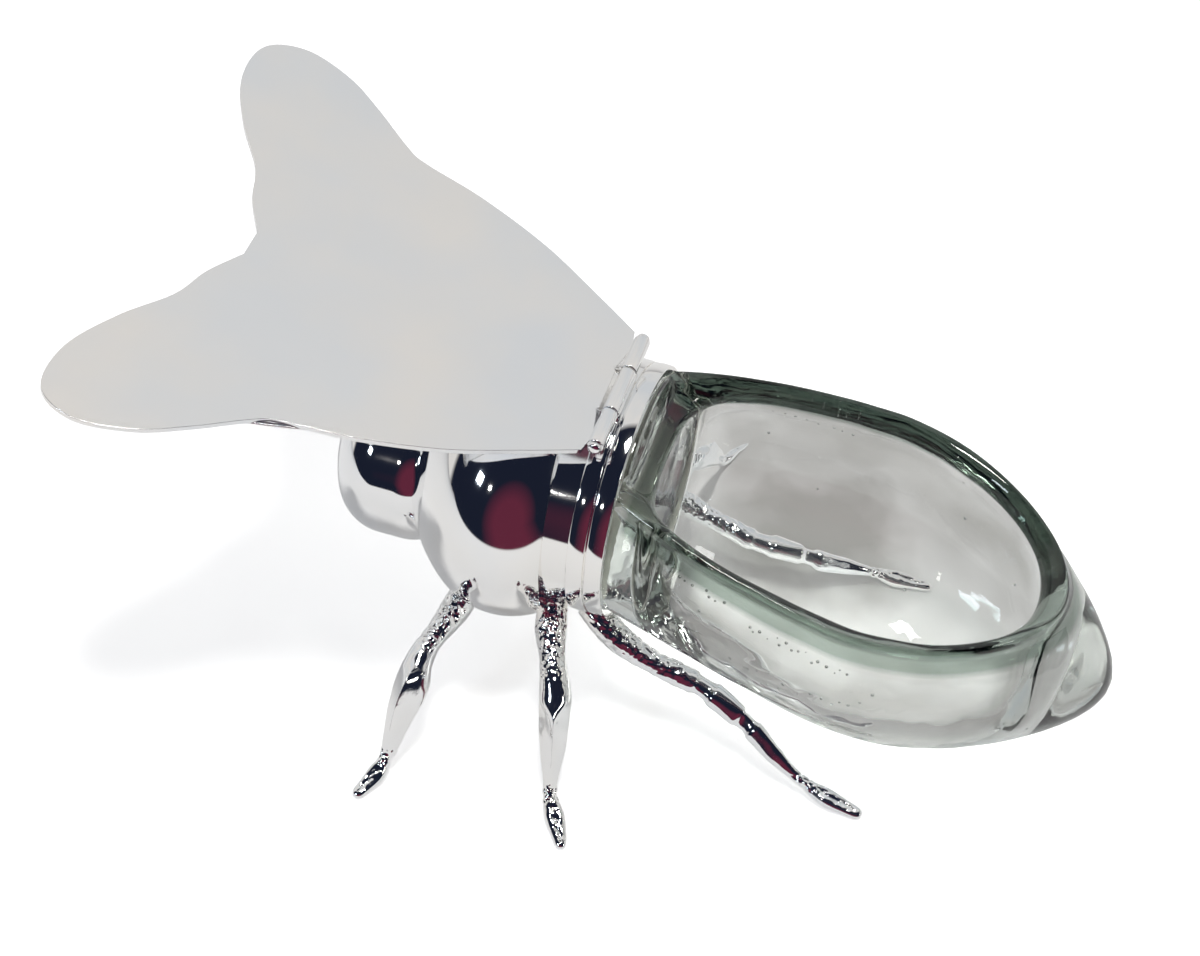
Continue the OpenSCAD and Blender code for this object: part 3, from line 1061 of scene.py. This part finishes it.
@dataclass
class CastLeg:
    """A leg cast in one piece, with a grainy root, a knee, an ankle and a leaf-shaped foot.

    A joint is x, y outwards, z from the collar's centre line, half width and half height, in mm.
    A part of the leg is given by the share of its length at the part's middle, and half the share
    that it takes.
    """

    place: str
    side: Side
    joints: Sequence[Sequence[float]]
    axis_height: float
    around: int = 72
    steps: int = 30
    thigh: Span = (0.15, 0.23)
    shank: Span = (0.575, 0.165)
    ankle: Span = (0.76, 0.055)
    foot: Span = (0.89, 0.10)
    hollow: Span = (0.89, 0.09)
    hollow_depth: float = 0.55 * MM
    bead_size: float = 1.2 * MM
    bead_rise: float = 0.34 * MM
    bead_spread: float = 0.62
    skin_wave: float = 0.16 * MM
    skin_scales: Span = (150.0, 420.0)
    keel: float = 1.0
    keel_narrowing: float = 0.9
    keel_rise: float = 0.35
    waists: Sequence[float] = ()
    waist_half: float = 0.03
    waist_depth: float = 0.60 * MM
    toe: float = 0.3

    def station(self, k: float) -> tuple[Vector, float, float]:
        """Middle, half width and half height at k joints along."""
        x, y, z, wide, high = blend(self.joints, k)
        return Vector((x, y, z)) * MM + UP * self.axis_height, wide * MM, high * MM

    def beads(self, point: Vector) -> float:
        """The granulation: round beads between 0 and 1, close together."""
        nearest = noise.voronoi(point / self.bead_size)[0][0]
        return math.sqrt(max(0.0, 1 - (nearest / self.bead_spread) ** 2))

    def relief(self, k: float, angle: float, point: Vector) -> float:
        """Works out the relief of the cast skin: beads, soft waves, the foot's hollow, waists.

        Args:
            k: the place along the leg, in joints.
            angle: the place round it.
            point: the place itself.

        Returns:
            How far the skin stands proud there.
        """
        share = k / (len(self.joints) - 1)
        top = max(0.0, math.sin(angle))
        thigh = bump_at(share, *self.thigh) * (0.45 + 0.55 * top)
        foot = bump_at(share, *self.foot) * top**6
        grained = min(1.0, thigh + bump_at(share, *self.ankle) + foot)
        broad, fine = self.skin_scales
        soft = 2 * noise.noise(point * broad + Vector((3, 1, 2))) + 0.4 * noise.noise(point * fine)
        sunk = self.hollow_depth * bump_at(share, *self.hollow) * top**6
        sunk += self.waist_depth * sum(bump_at(share, w, self.waist_half) for w in self.waists)
        return self.bead_rise * grained * (self.beads(point) - 0.5) - sunk + self.skin_wave * soft

    def ring_points(self, k: float) -> list[Vector]:
        """Places one ring round the leg. Between knee and ankle the leg has a keel.

        Args:
            k: how many joints along it is.

        Returns:
            Its points.
        """
        last = len(self.joints) - 1
        centre, wide, high = self.station(k)
        tip = max(0.0, 1 - (last - k) / self.toe)
        wide, high = (size * math.sqrt(1 - 0.98 * tip * tip) for size in (wide, high))
        forward = (self.station(min(k + 0.1, last))[0] - self.station(max(k - 0.1, 0))[0])
        forward.normalize()
        across = forward.cross(UP).normalized()
        over = across.cross(forward)
        ridge = bump_at(k / last, *self.shank) * self.keel
        power = 1 + self.keel_narrowing * ridge
        points = []
        for j in range(self.around):
            angle = -math.tau * j / self.around
            c, s = math.cos(angle), math.sin(angle)
            out = across * (wide * math.copysign(abs(c) ** power, c))
            lift = (1 + self.keel_rise * ridge) * s**power if s > 0 else s
            out += over * high * lift
            point = centre + out
            point += out.normalized() * self.relief(k, angle, point)
            point.z = max(point.z, 0.0)
            point.y *= self.side.value
            points.append(point)
        return points

    def build(self, material: bpy.types.Material) -> None:
        """Builds the leg.

        Args:
            material: its finish.
        """
        bm = bmesh.new()
        last = len(self.joints) - 1
        count = last * self.steps
        ring = first_ring(bm, self.ring_points(0))
        root = list(ring)
        for step in range(1, count + 1):
            ring = next_ring(bm, ring, self.ring_points(step / self.steps))
        ends = (self.station(0)[0], self.station(last)[0])
        for end_ring, end in zip((root, ring), ends):
            end.y *= self.side.value
            close_ring(bm, end_ring, end)
        name = f"{self.place}_{self.side.name.lower()}_leg"
        finished(bm, f"{name}_casting", material, Body.POT, [name])


FRONT_JOINTS = (
    (-30, 17, -21, 2.6, 2.6), (-31.5, 22, -24.5, 3.2, 3.2), (-33.2, 30, -25, 2.4, 2.4),
    (-34.4, 36, -26.5, 2.9, 2.9), (-34.6, 41, -29, 3.6, 3.4), (-35.4, 46.5, -34.5, 2.7, 2.5),
    (-36, 51, -40, 1.5, 1.5), (-37.2, 55, -42.3, 2, 1.7), (-39.5, 60.5, -43.4, 1.2, 0.9),
)
MIDDLE_JOINTS = (
    (-12, 18, -17, 2.8, 2.8), (-10.5, 24, -20, 3.3, 3.3), (-8.1, 30.2, -21.5, 2.7, 2.7),
    (-5.9, 35, -25, 3.2, 3.2), (-4.6, 39, -29, 3.1, 3), (-3.2, 44, -35, 2.3, 2.2),
    (-2, 48.4, -40.4, 1.4, 1.4), (0.4, 52.4, -42.3, 2, 1.7), (4, 58.2, -43.4, 1.2, 0.9),
)
REAR_JOINTS = (
    (-5.5, 16, -19.5, 2.7, 2.7), (2, 18.6, -24.3, 3, 2.8), (11, 19.6, -28, 2.4, 2.3),
    (21, 20, -31, 2.7, 2.5), (30.5, 22.4, -34.6, 2.6, 2.4), (38, 25.6, -38, 2, 1.9),
    (45, 28.4, -41, 1.3, 1.3), (51, 29.8, -42.4, 2, 1.6), (58.4, 30.8, -43.4, 1.2, 0.9),
)


# ------------------------------------------------------------------ hinge and wings


@dataclass
class Hinge:
    """Three knuckles on a pin with round heads, across the top of the collar."""

    pin: Vector
    knuckle_radius: float
    pin_radius: float = 0.6 * MM
    play: float = 0.05 * MM
    half_centre: float = 5.5 * MM
    half_length: float = 14.5 * MM
    gap: float = 0.25 * MM
    corner: float = 0.22 * MM
    head_height: float = 1.1 * MM
    head_radius: float = 1.32 * MM
    head_edge: float = 0.7 * MM
    foot_play: float = 0.1 * MM
    foot_edge: float = 0.15 * MM

    def barrel(self, start: float, end: float, bore: float) -> bmesh.types.BMesh:
        """Turns a knuckle.

        Args:
            start: where it begins along the pin.
            end: where it ends.
            bore: the radius of its hole.

        Returns:
            Its mesh.
        """
        bm = bmesh.new()
        profile = rounded_bar(start, end, bore, self.knuckle_radius, self.corner)
        turned(bm, profile, self.pin, ACROSS, 64)
        return bm

    def build(self, polished: bpy.types.Material) -> None:
        """Builds the knuckles, the saddle and the pin.

        Args:
            polished: their finish.
        """
        start = self.half_centre + self.gap
        bore = self.pin_radius + self.play
        for side in Side:
            ends = sorted((side.value * start, side.value * self.half_length))
            node = f"{side.name.lower()}_knuckle"
            finished(
                self.barrel(*ends, bore), f"{node}_barrel", polished, Body.LID,
                [node],
            )
        self.build_saddle(polished)
        self.build_pin(polished)

    def build_saddle(self, polished: bpy.types.Material) -> None:
        """Builds the centre knuckle on its square foot.

        Args:
            polished: its finish.
        """
        saddle = self.barrel(-self.half_centre, self.half_centre, self.pin_radius)
        low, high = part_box("hinge_saddle")
        height = self.pin.z - low.z - self.pin_radius
        size = (high.x - low.x, high.y - low.y - self.foot_play, height)
        place = Vector((self.pin.x, 0, low.z + height / 2))
        made = bmesh.ops.create_cube(
            saddle, size=1.0, matrix=Matrix.Translation(place) @ Matrix.Diagonal((*size, 1.0))
        )
        edges = {edge for vert in made["verts"] for edge in vert.link_edges}
        bmesh.ops.bevel(
            saddle, geom=list(edges), offset=self.foot_edge, segments=2, profile=0.5,
            affect="EDGES", material=-1,
        )
        finished(
            saddle, "centre_knuckle_and_saddle", polished, Body.POT,
            ["hinge_saddle"],
        )

    def build_pin(self, polished: bpy.types.Material) -> None:
        """Builds the pin with a domed head at each end.

        Args:
            polished: its finish.
        """
        end = self.half_length + 0.2 * MM
        tip = end + self.head_height
        dome = [
            (tip - self.head_edge * (1 - math.sin(a)), self.head_radius * math.cos(a))
            for a in (math.radians(10 * step) for step in range(9))
        ]
        half = [(0.0, self.pin_radius), (end, self.pin_radius), (end, self.head_radius), *dome,
                (tip, 0.0)]
        profile = [(-along, radius) for along, radius in half[:0:-1]] + half
        bm = bmesh.new()
        turned(bm, profile, self.pin, ACROSS, 48)
        finished(
            bm, "hinge_pin_with_heads", polished, Body.POT, ["hinge_pin"],
            sharp=True,
        )


@dataclass
class WingPlate:
    """Both wings as one flat plate, which is the lid. Its veins stand up on its outer face.

    The outline is given as fractions of the plate's length and half width, and so are a vein's
    start and end. The third number of a vein is its bow, as a fraction of the length.
    """

    pin: Vector
    length: float = 98 * MM
    half_width: float = 54 * MM
    thickness: float = 1.2 * MM
    gap: float = 0.3 * MM
    open_slope: float = math.radians(11.5)
    notch: float = 5.85 * MM
    notch_depth: float = 2.4 * MM
    seat: float = 0.9 * MM
    relief: float = 0.6 * MM
    root: float = 14.4 * MM
    root_start: float = 1.75 * MM
    edge_round: float = 0.22 * MM
    vein_rise: float = 0.4 * MM
    vein_width: float = 0.62 * MM
    vein_taper: float = 0.34 * MM
    outline: Sequence[Sequence[float]] = (
        (0.01, 0.29), (0.12, 0.40), (0.26, 0.53), (0.42, 0.63), (0.56, 0.685), (0.61, 0.73),
        (0.70, 0.85), (0.79, 0.95), (0.90, 1.0), (0.98, 0.93), (0.985, 0.74), (0.93, 0.53),
        (0.86, 0.35), (0.83, 0.20), (0.785, 0.06),
    )
    outline_steps: int = 12
    veins: Sequence[Sequence[Any]] = (
        ((0.08, 0.22), (0.90, 0.86), 0.05), ((0.08, 0.14), (0.86, 0.52), 0.04),
        ((0.10, 0.05), (0.76, 0.14), 0.015), ((0.55, 0.52), (0.62, 0.66), 0.01),
    )

    def half_outline(self) -> list[Vector]:
        """Draws one wing's outline, from the middle of the root to the gap between the wings.

        Returns:
            Its points.
        """
        centre = Vector((self.notch_depth, self.notch, 0))
        points = []
        for step in range(7):
            angle = math.radians(-90 + 45 * step)
            arm = Vector((math.cos(angle), math.sin(angle), 0)) * self.relief
            points.append(centre + arm)
        points += [Vector((self.seat, self.notch, 0)), Vector((self.seat, self.root, 0))]
        points.append(Vector((self.root_start, self.root, 0)))
        count = (len(self.outline) - 1) * self.outline_steps
        for step in range(count + 1):
            x, y = blend(self.outline, step / self.outline_steps)
            if x * self.length > self.root_start:
                points.append(Vector((x * self.length, y * self.half_width, 0)))
        return points

    def swing(self) -> Matrix:
        """From the plate's own drawing, with x away from the pin and z outwards, to its place."""
        turn = Matrix.Rotation(-(math.pi - self.open_slope), 4, "Y")
        return Matrix.Translation(self.pin) @ turn

    def add_vein(
        self, bm: bmesh.types.BMesh, start: Vector, end: Vector, bow: float, side: int
    ) -> None:
        """Adds a vein: a half-round wire along an arc, which tapers to its end.

        Args:
            bm: the plate's mesh.
            start: where it starts, on the plate's own drawing.
            end: where it ends.
            bow: how far it bows aside.
            side: 1 or -1, the wing that it is on.
        """
        across = Vector((start.y - end.y, end.x - start.x, 0)).normalized()
        count, base = 36, self.gap + self.thickness
        ring: Ring = []
        for step in range(count + 1):
            share = step / count
            middle = start.lerp(end, share) + across * (bow * 4 * share * (1 - share))
            wide = self.vein_width - self.vein_taper * share
            points = []
            for k in range(10):
                angle = math.tau * k / 10
                rise = max(-0.2 * MM, self.vein_rise * math.sin(angle))
                arm = across * (wide * math.cos(angle)) + Vector((0, 0, rise))
                points.append(middle + arm + Vector((0, 0, base)))
            points = [Vector((p.x, p.y * side, p.z)) for p in points]
            ring = next_ring(bm, ring, points) if ring else first_ring(bm, points)
            if step in (0, count):
                bmesh.ops.contextual_create(bm, geom=ring)

    def build(self, material: bpy.types.Material) -> None:
        """Builds the plate with its veins.

        Args:
            material: its finish.
        """
        bm = bmesh.new()
        half = self.half_outline()
        whole = half + [Vector((p.x, -p.y, 0)) for p in reversed(half)]
        verts = [bm.verts.new(p + Vector((0, 0, self.gap))) for p in whole]
        face = bmesh.ops.contextual_create(bm, geom=verts)["faces"][0]
        grown = bmesh.ops.extrude_face_region(bm, geom=[face])["geom"]
        top = [item for item in grown if isinstance(item, bmesh.types.BMVert)]
        bmesh.ops.translate(bm, verts=top, vec=(0, 0, self.thickness))
        bmesh.ops.recalc_face_normals(bm, faces=bm.faces)
        rims = [edge for edge in bm.edges if abs(edge.verts[0].co.z - edge.verts[1].co.z) < 1e-9]
        bmesh.ops.bevel(
            bm, geom=rims, offset=self.edge_round, segments=3, profile=0.5, affect="EDGES",
            material=-1, clamp_overlap=True,
        )
        for side in (-1, 1):
            for *ends, bow in self.veins:
                start, end = (
                    Vector((x * self.length, y * self.half_width, 0)) for x, y in ends
                )
                self.add_vein(bm, start, end, bow * self.length, side)
        bmesh.ops.transform(bm, matrix=self.swing(), verts=bm.verts)
        piece = finished(
            bm, "wing_plate_with_veins", material, Body.LID, ["wing_plate"]
        )
        weighted = piece.modifiers.new("flat_faces", "WEIGHTED_NORMAL")
        weighted.keep_sharp = True


# ------------------------------------------------------------------ studio


@dataclass
class Lamp:
    """A square soft lamp that looks at the pot."""

    name: str
    place: Place
    size: float
    power: float
    colour: Colour

    def build(self) -> None:
        """Hangs the lamp."""
        data = bpy.data.lights.new(self.name, "AREA")
        data.shape, data.size, data.energy, data.color = (
            "SQUARE", self.size, self.power, self.colour
        )
        lamp = bpy.data.objects.new(self.name, data)
        bpy.context.scene.collection.objects.link(lamp)
        lamp.location = self.place
        aim = Vector((0, 0, 0.04)) - Vector(self.place)
        lamp.rotation_mode = "QUATERNION"
        lamp.rotation_quaternion = aim.to_track_quat("-Z", "Y")
        lamp.visible_camera = False


@dataclass
class Studio:
    """White table, pale walls and ceiling behind, a dim room in front, and soft lamps.

    The room's middle is an azimuth and elevation in degrees. Glow is the table's own light.
    """

    room_azimuth: float = 10.0
    room_elevation: float = 25.0
    room_edge: Span = (0.10, 0.20)
    walls: tuple[Colour, Colour] = ((0.72, 0.70, 0.675), (0.60, 0.625, 0.65))
    floor_half: float = 3.0
    table: Colour = (0.88, 0.88, 0.875)
    # Painted shade: the table seen through the glass is painted darker grey with clouds, standing
    # in for the shadow and caustics of the glass on it.
    painted_shade_through_glass: tuple[Colour, Colour] = ((0.72, 0.715, 0.71), (0.34, 0.33, 0.315))
    glow: float = 0.6
    mirrored_glow: float = 0.11
    edge_way: Place = (0.47, -0.883, 0.0)
    edge_place: float = 0.165
    edge_soft: float = 0.02
    dim: Colour = (0.010, 0.013, 0.026)
    cloth: Colour = (0.115, 0.021, 0.043)
    cloth_turn: float = 0.3
    cloth_edge: Span = (0.84, 0.96)
    # Where the painted shadow under the bowl lies on the table, and how far it reaches.
    shade_middle: Place = (0.028, 0.040, 0.0)
    shade_reach: float = 0.034
    lamps: Sequence[Lamp] = (
        Lamp("top_lamp", (0.05, -0.05, 1.2), 0.20, 6.0, (1.0, 0.99, 0.97)),
        Lamp("blue_lamp", (-0.76, -1.10, 0.79), 0.20, 2.8, (0.80, 0.89, 1.0)),
        Lamp("front_lamp", (-0.37, -1.29, 0.79), 0.07, 0.6, (1.0, 0.98, 0.95)),
        Lamp("right_lamp", (1.36, -0.26, 0.59), 0.16, 1.5, (1.0, 0.97, 0.92)),
    )
    lens: float = 73.36
    eye: Place = (0.08334, -0.30347, 0.41905)
    right: Place = (0.94786, 0.31775, 0.02455)
    down: Place = (0.25760, -0.71850, -0.64607)
    forward: Place = (-0.18765, 0.61870, -0.76289)

    def dark(self, tree: Tree, way: Value) -> Value:
        """Colours the dim room, with the red cloth that hangs there.

        Args:
            tree: the tree of the world or of the table.
            way: the direction that is looked in.

        Returns:
            The colour.
        """
        middle = (math.sin(self.cloth_turn), -math.cos(self.cloth_turn), 0.1)
        red = tree.spread(tree.dot(way, middle), *self.cloth_edge, 0.0, 1.0)
        return tree.mix(red, self.dim, self.cloth)

    def world(self) -> None:
        """Makes the surroundings. The camera sees plain white, and glass sees pale walls."""
        world = bpy.data.worlds.new("studio")
        bpy.context.scene.world = world
        tree = Tree(world)
        way = tree.node("ShaderNodeTexCoord", output="Generated")
        azimuth, elevation = math.radians(self.room_azimuth), math.radians(self.room_elevation)
        middle = (
            math.sin(azimuth) * math.cos(elevation), -math.cos(azimuth) * math.cos(elevation),
            math.sin(elevation),
        )
        room = tree.spread(tree.dot(way, middle), *self.room_edge, 0.0, 1.0)
        cloud = tree.spread(tree.noise(1.6, 2.0, way), 0.35, 0.65, 0.0, 1.0)
        walls = tree.mix(cloud, *self.walls)
        through = tree.light_path("Is Transmission Ray")
        straight = through * tree.spread(tree.light_path("Glossy Depth"), 0.0, 1.0, 1.0, 0.0)
        around = tree.mix(room * (1 - straight), walls, self.dark(tree, way))
        colour = tree.mix(tree.light_path("Is Camera Ray"), around, (1.0, 1.0, 1.0))
        light = tree.node("ShaderNodeBackground", inputs={"Color": colour, "Strength": 1.0})
        tree.node("ShaderNodeOutputWorld", inputs={"Surface": light})

    def floor(self) -> None:
        """Makes the table top, which keeps a soft shadow.

        The camera sees it white, mirrors see where it ends, and glass sees it painted darker: pale
        grey with clouds of painted shade, and a painted shadow under the bowl.
        """
        bm = bmesh.new()
        bmesh.ops.create_grid(bm, x_segments=1, y_segments=1, size=self.floor_half)
        mesh = bpy.data.meshes.new("table_top")
        bm.to_mesh(mesh)
        bm.free()
        made = bpy.data.materials.new("white_table")
        tree = Tree(made)
        # Clouds of painted shade and a painted shadow under the bowl, which only rays through the
        # glass see.
        cloud = tree.spread(tree.noise(14.0, 3.0), 0.40, 0.62, 0.0, 1.0)
        aside = tree.node(
            "ShaderNodeVectorMath", {"operation": "DISTANCE"},
            {0: tree.place(), 1: self.shade_middle}, output="Value",
        )
        uneven = aside + 0.03 * (tree.noise(60.0, 3.0) - 0.5)
        shade = tree.spread(uneven, 0.3 * self.shade_reach, self.shade_reach, 1.0, 0.0)
        cloud = cloud.math("MAXIMUM", cloud, shade)
        glass_shaded_tone = tree.mix(cloud, *self.painted_shade_through_glass)
        tone = tree.mix(tree.light_path("Is Transmission Ray"), self.table, glass_shaded_tone)
        matt = tree.node("ShaderNodeBsdfDiffuse", inputs={"Color": tone})
        mirrored = tree.light_path("Is Glossy Ray")
        strength = tree.light_path("Is Camera Ray") * self.glow + mirrored * self.mirrored_glow
        glow = tree.node(
            "ShaderNodeEmission", inputs={"Color": (1.0, 1.0, 1.0), "Strength": strength}
        )
        lit = tree.node("ShaderNodeAddShader", inputs={0: matt, 1: glow})
        way = tree.node("ShaderNodeVectorMath", {"operation": "NORMALIZE"}, {0: tree.place()})
        room = tree.node(
            "ShaderNodeEmission", inputs={"Color": self.dark(tree, way), "Strength": 1.0}
        )
        beyond = tree.dot(tree.place(), self.edge_way)
        past = tree.spread(
            beyond, self.edge_place, self.edge_place + self.edge_soft, 0.0, 1.0
        )
        shader = tree.node("ShaderNodeMixShader", inputs={0: past * mirrored, 1: lit, 2: room})
        tree.node("ShaderNodeOutputMaterial", inputs={"Surface": shader})
        mesh.materials.append(made)
        table = bpy.data.objects.new("table_top", mesh)
        bpy.context.scene.collection.objects.link(table)

    def camera(self) -> None:
        """Places the camera where the photograph was taken from."""
        data = bpy.data.cameras.new("camera")
        data.sensor_width, data.lens = 36.0, self.lens
        data.clip_start, data.clip_end = 0.01, 20.0
        camera = bpy.data.objects.new("camera", data)
        bpy.context.scene.collection.objects.link(camera)
        axes = (Vector(self.right), -Vector(self.down), -Vector(self.forward))
        turn = Matrix(axes).transposed().to_4x4()
        camera.matrix_world = Matrix.Translation(self.eye) @ turn
        bpy.context.scene.camera = camera

    def build(self) -> None:
        """Sets up the whole studio."""
        bpy.context.scene.view_settings.view_transform = "Standard"
        self.world()
        self.floor()
        for lamp in self.lamps:
            lamp.build()
        cycles = bpy.context.scene.cycles
        cycles.max_bounces, cycles.transmission_bounces, cycles.glossy_bounces = 24, 24, 16
        self.camera()


# ------------------------------------------------------------------ the whole pot


@dataclass
class HoneyPot:
    """The whole pot, with the sizes that its parts share read from the frame."""

    thorax_half: float = 23.5 * MM
    thorax_drop: float = 2.4 * MM
    thorax_edge: float = 17 * MM
    thorax_stop: float = 11 * MM
    thorax_flange: float = 15 * MM
    head_half: float = 14.5 * MM
    head_drop: float = 3.6 * MM
    head_edge: float = 10 * MM
    head_spread: float = 2.5 * MM
    head_stop: float = 9.8 * MM
    knuckle_room: float = 0.3 * MM
    rear_keel: float = 0.4
    rear_waists: Span = (0.375, 0.51)
    axis_height: float = field(init=False)
    collar_radius: float = field(init=False)
    pin: Vector = field(init=False)
    knuckle_radius: float = field(init=False)
    materials: dict[str, bpy.types.Material] = field(init=False)

    def __post_init__(self) -> None:
        """Reads the collar and the hinge pin from the frame, and makes the materials."""
        low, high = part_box("collar_tube")
        self.collar_radius = (high.y - low.y) / 2
        self.axis_height = low.z + self.collar_radius
        low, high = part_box("hinge_pin")
        self.pin = (low + high) / 2
        low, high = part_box("hinge_saddle")
        self.knuckle_radius = (high.x - low.x) / 2
        finishes = (
            MIRROR_SILVER, BAND_SILVER, WING_SILVER, CAST_SILVER, POT_GLASS, BEDDING_PLASTER
        )
        self.materials = {finish.name: finish.material() for finish in finishes}

    def dress_nodes(self) -> None:
        """Gives the CAD nodes that stay their finish."""
        finishes = {
            "bedding_ring": "bedding_plaster",
            "collar_disc": "mirror_silver",
            "collar_tube": "band_silver",
        }
        for node, finish in finishes.items():
            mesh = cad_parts[node].data
            mesh.materials.clear()
            mesh.materials.append(self.materials[finish])

    def build_collar(self) -> None:
        """Builds the two bands of the collar."""
        trough = self.knuckle_radius + self.knuckle_room
        for node in ("front_band", "rear_band"):
            band = CollarBand(node, self.axis_height, self.collar_radius, self.pin, trough)
            band.build(self.materials["band_silver"])

    def build_bodies(self) -> None:
        """Builds the thorax and the head, each a little lower than what it stands before."""
        low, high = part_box("thorax_shell")
        middle = Vector((low.x + self.thorax_half, 0, self.axis_height - self.thorax_drop))
        RaisedBody(
            "raised_thorax", "thorax_shell", middle, self.thorax_half, (high.y - low.y) / 2,
            self.thorax_edge, stop=self.thorax_stop, flange=self.thorax_flange,
        ).build(self.materials["mirror_silver"])
        low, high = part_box("head_shell")
        middle = Vector((low.x + self.head_half, 0, middle.z - self.head_drop))
        RaisedBody(
            "raised_head", "head_shell", middle, self.head_half, (high.y - low.y) / 2,
            self.head_edge, spread=self.head_spread, stop=self.head_stop,
        ).build(self.materials["mirror_silver"])

    def build_legs(self) -> None:
        """Builds the three pairs of legs."""
        rear = {"keel": self.rear_keel, "waists": self.rear_waists}
        rows = (("front", FRONT_JOINTS, {}), ("middle", MIDDLE_JOINTS, {}),
                ("rear", REAR_JOINTS, rear))
        for place, joints, shape in rows:
            for side in Side:
                leg = CastLeg(place, side, joints, self.axis_height, **shape)
                leg.build(self.materials["cast_silver"])

    def build(self) -> None:
        """Builds every piece."""
        self.dress_nodes()
        GlassBowl(self.axis_height, self.pin).build(self.materials["pot_glass"])
        self.build_collar()
        self.build_bodies()
        self.build_legs()
        Hinge(self.pin, self.knuckle_radius).build(self.materials["mirror_silver"])
        WingPlate(self.pin).build(self.materials["wing_silver"])


def main() -> None:
    """Builds the pot and its studio."""
    logging.basicConfig(level=logging.INFO, format="%(message)s")
    HoneyPot().build()
    Studio().build()


if __name__ == "__main__":
    main()
